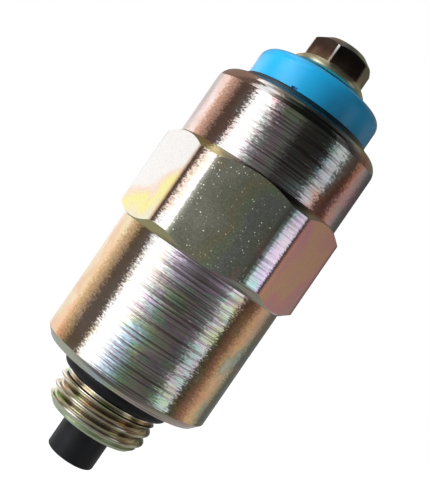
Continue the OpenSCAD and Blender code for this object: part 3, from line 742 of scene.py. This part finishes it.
def put_card(name, points, colours, faces):
    """A toned card that only reflections see."""
    data = bpy.data.meshes.new(name)
    data.from_pydata(points, [], faces)
    layer = data.color_attributes.new("tone", "FLOAT_COLOR", "POINT")
    for i, colour in enumerate(colours):
        layer.data[i].color = (*colour, 1.0)
    data.materials.append(glow_material(name))
    piece = bpy.data.objects.new(name, data)
    SCENE.collection.objects.link(piece)
    piece.visible_camera = False
    piece.visible_diffuse = False
    piece.visible_shadow = False


def stop(below, above, middle=None):
    """One stop of a card: azimuth, brightness and tint in its lower, upper and middle row.

    Without its own values the middle row is half way between the others.
    """
    below, above = [(azimuth, tone(*light)) for azimuth, *light in (below, above)]
    if middle is None:
        middle = (blend(below[0], above[0], 0.5), blend_colour(below[1], above[1], 0.5))
    else:
        middle = (middle[0], tone(*middle[1:]))
    return below, middle, above


def card(name, stops, low=CARD_LOW, high=BROW_Z):
    """A curved card round the part, toned evenly from each stop to the next."""
    points, colours, faces = [], [], []
    columns = []
    for first, last in zip(stops, stops[1:]):
        count = max(1, round(abs(last[0][0] - first[0][0]) / CARD_STEP))
        for i in range(count):
            s = i / count
            columns.append([(blend(a, b, s), blend_colour(p, q, s))
                            for (a, p), (b, q) in zip(first, last)])
    columns.append(stops[-1])
    rows = [z for z in (low, LOW_ROW, MIDDLE_ROW, HIGH_ROW, high) if low <= z <= high]
    for below, middle, above in columns:
        for z in rows:
            azimuth, colour = middle if z == MIDDLE_ROW else below if z < MIDDLE_ROW else above
            points.append(round_axis(azimuth, CARD_R, z))
            colours.append(colour)
    n = len(rows)
    for i in range(len(columns) - 1):
        for k in range(n - 1):
            p = i * n + k
            faces.append((p, p + n, p + n + 1, p + 1))
    put_card(name, points, colours, faces)


def disc(name, z, ring, middle, inner=0.1):
    """A flat round card above or below the part. ring: azimuth, brightness at the rim and inside."""
    points, colours, faces = [(0, 0, z)], [middle], []
    for i in range(DISC_STEPS):
        azimuth = -180 + 360 * i / DISC_STEPS
        for (a0, rim0, in0), (a1, rim1, in1) in zip(ring, ring[1:]):
            if a0 <= azimuth <= a1:
                share = (azimuth - a0) / (a1 - a0)
                rim, inside = tone(blend(rim0, rim1, share)), tone(blend(in0, in1, share))
                break
        for radius, colour in ((0.2 * inner, inside), (inner, inside), (CARD_R, rim)):
            points.append(round_axis(azimuth, radius, z))
            colours.append(colour)
        a, b = 3 * i, 3 * ((i + 1) % DISC_STEPS)
        faces += [(0, a + 1, b + 1), (a + 1, a + 2, b + 2, b + 1), (a + 2, a + 3, b + 3, b + 2)]
    put_card(name, points, colours, faces)


# The cards. Their rows give azimuth, brightness and, where it isn't neutral, tint.

DARK = (0.11, BROWN)
LEFT_EDGE = stop((-67, *DARK), (-67, *DARK), (-74, *DARK))
LEFT_END = stop((-12, 0.40, COOL), (-20, 0.12))
RIGHT_START = stop((44, 0.16), (50, 0.04), (46, 0.34))
RIGHT_END = stop((70, 0.12), (77, 0.16), (74, 0.16))
card("card_left", [
    stop((-180, 1.1), (-180, 0.70), (-180, 1.02)),
    stop((-142, 0.92), (-142, 0.66), (-142, 1.02)),
    stop((-130, 1.0), (-132, 1.0), (-130, 1.06)),
    stop((-118, 1.05), (-118, 1.1), (-118, 1.1)),
    stop((-111, 0.80, BROWN), (-111, 0.70, BROWN)),
    stop((-96, 0.40, BROWN), (-96, 0.34, BROWN)),
    stop((-87, *DARK), (-87, 0.08, BROWN), (-90, *DARK)),
    LEFT_EDGE,
])
card("strip_light", [
    LEFT_EDGE,
    stop((-61, 1.1), (-62, 1.1), (-66, 1.1)),
    stop((-56, 1.8), (-56, 1.6)),
    stop((-36, 1.7), (-40, 1.5)),
    stop((-25, 0.9, COOL), (-30, 0.36)),
    LEFT_END,
])
card("card_front", [
    LEFT_END,
    stop((0, 0.18), (0, 0.11), (0, 0.17)),
    stop((14, 0.14), (12, 0.03)),
    stop((34, 0.10), (40, 0.02), (32, 0.22)),
    RIGHT_START,
])
card("strip_right", [
    RIGHT_START,
    stop((52, 0.66, COOL), (60, 0.46, COOL), (53, 0.95, COOL)),
    stop((64, 0.80, COOL), (70, 0.60, COOL), (68, 1.0, COOL)),
    RIGHT_END,
])
card("card_right", [
    RIGHT_END,
    stop((74, 0.06, BROWN), (81, 0.10, BROWN)),
    stop((80, 0.14, BROWN), (94, 0.06, BROWN)),
    stop((88, 0.18, BROWN), (99, 0.09, BROWN)),
    stop((108, 0.58, BROWN), (110, 0.36, BROWN)),
    stop((122, 0.38), (122, 0.28)),
    stop((134, 0.14), (134, 0.12)),
    stop((150, 0.15), (152, 0.07)),
    stop((166, 0.20), (166, 0.08)),
    stop((180, 0.45), (180, 0.20)),
])
BROW = [
    (-180, 0.26, BROWN), (-112, 0.26, BROWN), (-100, 0.15, BROWN), (-80, 0.14, BROWN), (-70, 1.0),
    (-52, 1.1), (-42, 0.35), (-30, 0.10), (-18, 0.02), (0, 0.012), (50, 0.012), (60, 0.10),
    (70, 0.10), (80, 0.03), (105, 0.10, BROWN), (120, 0.14, MOSSY), (138, 0.16, MOSSY),
    (164, 0.16, MOSSY), (180, 0.2),
]
card("card_brow", [stop(row, row) for row in BROW], low=BROW_Z, high=CARD_HIGH)
disc("card_over", OVER_Z, [
    (-180, 0.12, 0.06), (-150, 0.40, 0.10), (-125, 1.5, 0.20), (-104, 1.5, 0.20), (-92, 0.7, 0.10),
    (-76, 1.0, 0.10), (-52, 1.0, 0.10), (-40, 0.10, 0.05), (0, 0.012, 0.012), (80, 0.012, 0.012),
    (130, 0.10, 0.03), (180, 0.12, 0.06),
], tone(0.03), inner=0.13)
disc("card_under", UNDER_Z, [
    (-180, 0.5, 0.4), (-110, 0.5, 0.4), (-40, 0.22, 0.23), (0, 0.16, 0.2), (90, 0.16, 0.2),
    (180, 0.5, 0.4),
], tone(0.24, IVORY))


def lamp(name, place, target, size, power):
    """A soft lamp that reflections don't see."""
    data = bpy.data.lights.new(name, "AREA")
    data.shape = "RECTANGLE"
    data.size, data.size_y = size
    data.energy = power
    thing = bpy.data.objects.new(name, data)
    SCENE.collection.objects.link(thing)
    thing.location = place
    thing.rotation_mode = "QUATERNION"
    thing.rotation_quaternion = (Vector(target) - Vector(place)).to_track_quat("-Z", "Y")
    thing.visible_glossy = False


lamp("key", (-0.33, -0.11, 0.13), (0, 0, 0.03), (0.16, 0.24), 1.7)
lamp("fill", (0.16, 0.34, 0.2), (0, 0, 0.03), (0.25, 0.25), 0.35)


def background_rays(tree):
    """1 for rays that show the surroundings, straight or in a reflection, and 0 for soft light."""
    rays = tree.nodes.new("ShaderNodeLightPath").outputs
    seen = rays["Is Camera Ray"]
    for kind in ("Is Glossy Ray", "Is Transmission Ray"):
        total = tree.nodes.new("ShaderNodeMath")
        total.operation = "ADD"
        total.use_clamp = True
        tree.links.new(seen, total.inputs[0])
        tree.links.new(rays[kind], total.inputs[1])
        seen = total.outputs[0]
    return seen


def build_world():
    """Surroundings that are white where they are seen, at strength 1, and light the part softly."""
    world = bpy.data.worlds.new("surroundings")
    SCENE.world = world
    world.use_nodes = True
    tree = world.node_tree
    tree.nodes.clear()
    both = tree.nodes.new("ShaderNodeMixShader")
    tree.links.new(background_rays(tree), both.inputs[0])
    for socket, strength in ((both.inputs[1], SOFT_LIGHT), (both.inputs[2], 1.0)):
        white = tree.nodes.new("ShaderNodeBackground")
        white.inputs["Color"].default_value = (1, 1, 1, 1)
        white.inputs["Strength"].default_value = strength
        tree.links.new(white.outputs[0], socket)
    out = tree.nodes.new("ShaderNodeOutputWorld")
    tree.links.new(both.outputs[0], out.inputs["Surface"])


def build_floor():
    """A pale floor that glows to the rays that see it, so that little but a soft shadow darkens it."""
    data = bpy.data.meshes.new("floor")
    corners = [(-1, -1), (1, -1), (1, 1), (-1, 1)]
    points = [(x * FLOOR_HALF, y * FLOOR_HALF, FLOOR_Z) for x, y in corners]
    data.from_pydata(points, [], [(0, 1, 2, 3)])
    m = Nodes("pale_floor")
    colour = m.ramp(m.noise((3, 3, 3), 2.0), [(0.3, (0.90, 0.90, 0.90)), (0.7, (0.93, 0.93, 0.93))])
    m.finish(colour, 0.8)
    light = m.add("ShaderNodeEmission")
    light.inputs["Color"].default_value = (1, 1, 1, 1)
    m.link(m.span(background_rays(m.tree), 0.0, 1.0, 0.0, FLOOR_GLOW), light.inputs["Strength"])
    both = m.add("ShaderNodeAddShader")
    m.link(m.shader.outputs[0], both.inputs[0])
    m.link(light.outputs[0], both.inputs[1])
    m.link(both.outputs[0], m.tree.nodes["Material Output"].inputs["Surface"])
    data.materials.append(m.material)
    floor = bpy.data.objects.new("floor", data)
    SCENE.collection.objects.link(floor)


build_world()
build_floor()


# Camera, fitted to the photograph, whose frame is 430 by 500

FRAME_HEIGHT_PX = 500
FOCAL_PX = 881.313
SENSOR = 36.0
AZIMUTH, HEIGHT, DISTANCE = math.radians(0.881), 19.899 * MM, 113.147 * MM
YAW, PITCH_ANGLE, ROLL = math.radians(-0.318), math.radians(0.05), math.radians(34.511)

lens = bpy.data.cameras.new("camera")
lens.sensor_width = SENSOR
lens.sensor_fit = "AUTO"
lens.lens = FOCAL_PX / FRAME_HEIGHT_PX * SENSOR
lens.clip_start, lens.clip_end = 0.005, 20.0
camera = bpy.data.objects.new("camera", lens)
SCENE.collection.objects.link(camera)
across = Vector((math.cos(AZIMUTH), math.sin(AZIMUTH), 0))
back = Vector((math.sin(AZIMUTH), -math.cos(AZIMUTH), 0))
level = Matrix((across, Vector((0, 0, 1)), back)).transposed()
turn = level
for angle, axis in ((ROLL, "Z"), (PITCH_ANGLE, "X"), (YAW, "Y")):
    turn = turn @ Matrix.Rotation(angle, 3, axis)
place = Vector((math.sin(AZIMUTH) * DISTANCE, -math.cos(AZIMUTH) * DISTANCE, HEIGHT))
camera.matrix_world = Matrix.Translation(place) @ turn.to_4x4()
SCENE.camera = camera
SCENE.view_settings.view_transform = "Standard"
